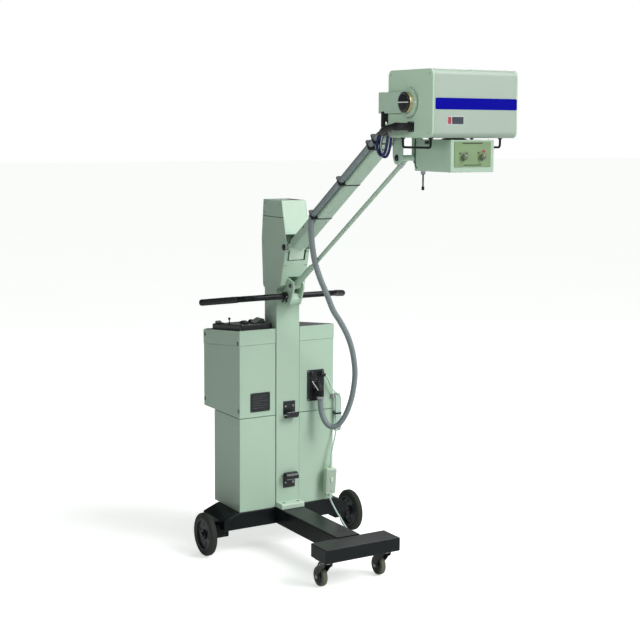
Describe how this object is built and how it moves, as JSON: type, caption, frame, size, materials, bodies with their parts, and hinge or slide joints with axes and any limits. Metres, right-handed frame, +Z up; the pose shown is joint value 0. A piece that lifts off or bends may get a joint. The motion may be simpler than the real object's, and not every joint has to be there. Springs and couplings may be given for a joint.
{
  "type": "mobile x-ray unit",
  "caption": "Mobile bedside X-ray unit: wheeled cart with a cabinet and column, a parallelogram arm and a box-shaped tube head with a rotating collimator.",
  "frame": {"origin": "on the floor, at the middle of the unit's length and width, without its mains lead", "axes": "+Z up, -Y along the leg and the arm towards the tube head, +X to the side of the cabinet that carries the cable sockets"},
  "size_m": [0.75, 1.607, 1.9779],
  "materials": {
    "black_paint": "glossy enamel",
    "black_steel": "satin enamel",
    "green_paint": "smooth satin enamel",
    "sheet_paint": "smooth satin enamel on thin sheet",
    "cream_paint": "smooth satin enamel",
    "black_plastic": "fine matt grain",
    "pale_plastic": "smooth moulded",
    "black_rubber": "matt",
    "grey_hose": "satin sheath",
    "lead_sheath": "satin sheath",
    "tyre_rubber": "matt",
    "caster_tread": "matt",
    "zinc": "zinc plated",
    "spring_steel": "oiled",
    "brass_ring": "turned",
    "panel_print": "printed film",
    "windings": "cast and wound"
  },
  "bodies": {
    "cart": {"chassis": "black_paint", "leg_beam": "black_paint", "front_beam": "black_paint", "foot_bracket": "cream_paint", "fixings": "zinc", "column": "green_paint", "lower_cabinet": "green_paint", "upper_cabinet": "green_paint", "cabinet_band": "green_paint", "control_panel": "black_plastic", "rear_covers": "green_paint", "front_plates": "black_plastic", "hose_gland": "black_rubber", "cord_hooks": "black_steel", "housing_shell": "sheet_paint", "housing_front": "sheet_paint", "housing_cap": "black_plastic", "pivot_pins": "black_steel", "link_bracket": "green_paint", "handlebar": "black_paint", "power_unit": "windings", "lead_upper": "lead_sheath", "lead_hank": "lead_sheath", "inline_box": "pale_plastic", "lead_lower": "lead_sheath", "lead_coil": "lead_sheath", "mains_plug": "pale_plastic", "hose_loop": "grey_hose"},
    "wheel_left": {"tyre_left": "tyre_rubber", "hub_left": "black_plastic"},
    "wheel_right": {"tyre_right": "tyre_rubber", "hub_right": "black_plastic"},
    "caster_left": {"caster_fork_left": "black_steel"},
    "caster_right": {"caster_fork_right": "black_steel"},
    "caster_left_wheel": {"caster_wheel_left": "caster_tread"},
    "caster_right_wheel": {"caster_wheel_right": "caster_tread"},
    "arm": {"arm_tube": "green_paint", "arm_hose": "grey_hose", "hose_ties": "black_plastic", "balance_spring": "spring_steel"},
    "link": {"link_rod": "green_paint"},
    "bracket": {"end_bracket": "green_paint", "head_hose": "grey_hose"},
    "arm_lock": {"arm_lock_knob": "black_plastic"},
    "yoke": {"yoke": "green_paint", "tilt_dials": "brass_ring"},
    "head": {"head_shell": "cream_paint", "head_ends": "green_paint", "head_handles": "black_steel", "tube_insert": "windings", "head_connector": "black_rubber"},
    "collimator": {"collimator_body": "green_paint", "collimator_panel": "panel_print"},
    "shutter_left": {"shutter_knob_left": "black_plastic"},
    "shutter_right": {"shutter_knob_right": "black_plastic"},
    "lamp_switch": {"lamp_button": "black_plastic"},
    "kv_control": {"kv_knob": "black_plastic"},
    "ma_control": {"ma_knob": "black_plastic"},
    "exposure_switch": {"exposure_toggle": "zinc"},
    "power_switch": {"power_rocker": "black_plastic"}
  },
  "joints": [
    {"name": "wheel_left_roll", "type": "hinge", "parent": "cart", "child": "wheel_left", "pos_m": [-0.357, 0.5275, 0.09], "axis": [1, 0, 0], "continuous": true},
    {"name": "caster_left_swivel", "type": "hinge", "parent": "cart", "child": "caster_left", "pos_m": [-0.136, -0.082, 0.118], "axis": [0, 0, 1], "continuous": true},
    {"name": "caster_left_roll", "type": "hinge", "parent": "caster_left", "child": "caster_left_wheel", "pos_m": [-0.136, -0.04, 0.04], "axis": [1, 0, 0], "continuous": true},
    {"name": "wheel_right_roll", "type": "hinge", "parent": "cart", "child": "wheel_right", "pos_m": [0.357, 0.5275, 0.09], "axis": [1, 0, 0], "continuous": true},
    {"name": "caster_right_swivel", "type": "hinge", "parent": "cart", "child": "caster_right", "pos_m": [0.136, -0.082, 0.118], "axis": [0, 0, 1], "continuous": true},
    {"name": "caster_right_roll", "type": "hinge", "parent": "caster_right", "child": "caster_right_wheel", "pos_m": [0.136, -0.04, 0.04], "axis": [1, 0, 0], "continuous": true},
    {"name": "arm_lift", "type": "hinge", "parent": "cart", "child": "arm", "pos_m": [0, 0.3955, 1.292], "axis": [1, 0, 0], "range_deg": [-6, 64], "deforming": ["hose_loop", "head_hose"]},
    {"name": "link_swing", "type": "hinge", "parent": "cart", "child": "link", "pos_m": [0, 0.3955, 1.132], "axis": [1, 0, 0], "range_deg": [-6, 64]},
    {"name": "bracket_level", "type": "hinge", "parent": "arm", "child": "bracket", "pos_m": [0, -0.40454, 1.83693], "axis": [1, 0, 0], "range_deg": [-64, 6], "deforming": ["head_hose"]},
    {"name": "arm_lock_turn", "type": "hinge", "parent": "bracket", "child": "arm_lock", "pos_m": [-0.06, -0.40454, 1.83693], "axis": [1, 0, 0], "range_deg": [-90, 90]},
    {"name": "yoke_roll", "type": "hinge", "parent": "bracket", "child": "yoke", "pos_m": [0, -0.4865, 1.86894], "axis": [0, 1, 0], "range_deg": [-45, 45], "deforming": ["head_hose"]},
    {"name": "head_tilt", "type": "hinge", "parent": "yoke", "child": "head", "pos_m": [0, -0.6715, 1.86894], "axis": [1, 0, 0], "range_deg": [-90, 25], "deforming": ["head_hose"]},
    {"name": "collimator_turn", "type": "hinge", "parent": "head", "child": "collimator", "pos_m": [0, -0.6835, 1.74493], "axis": [0, 0, 1], "range_deg": [-90, 90]},
    {"name": "shutter_left_turn", "type": "hinge", "parent": "collimator", "child": "shutter_left", "pos_m": [-0.038, -0.7895, 1.68894], "axis": [0, 1, 0], "range_deg": [-135, 135]},
    {"name": "shutter_right_turn", "type": "hinge", "parent": "collimator", "child": "shutter_right", "pos_m": [0.038, -0.7895, 1.68894], "axis": [0, 1, 0], "range_deg": [-135, 135]},
    {"name": "lamp_press", "type": "slide", "parent": "collimator", "child": "lamp_switch", "axis": [1, 0, 0], "range_m": [0, 0.0026], "stiffness_N_per_m": 400, "springref_m": -0.001},
    {"name": "kv_turn", "type": "hinge", "parent": "cart", "child": "kv_control", "pos_m": [-0.175, 0.5235, 0.96064], "axis": [0, 0, 1], "range_deg": [-135, 135]},
    {"name": "ma_turn", "type": "hinge", "parent": "cart", "child": "ma_control", "pos_m": [-0.108, 0.5875, 0.95142], "axis": [0, 0, 1], "range_deg": [-135, 135]},
    {"name": "exposure_flip", "type": "hinge", "parent": "cart", "child": "exposure_switch", "pos_m": [-0.19, 0.6315, 0.94108], "axis": [1, 0, 0], "range_deg": [-14, 14]},
    {"name": "power_rock", "type": "hinge", "parent": "cart", "child": "power_switch", "pos_m": [-0.185, 0.7345, 0.92625], "axis": [1, 0, 0], "range_deg": [-7, 7]}
  ],
  "couplings": [
    {"joint": "link_swing", "follows": "arm_lift", "ratio": 1},
    {"joint": "bracket_level", "follows": "arm_lift", "ratio": -1}
  ]
}
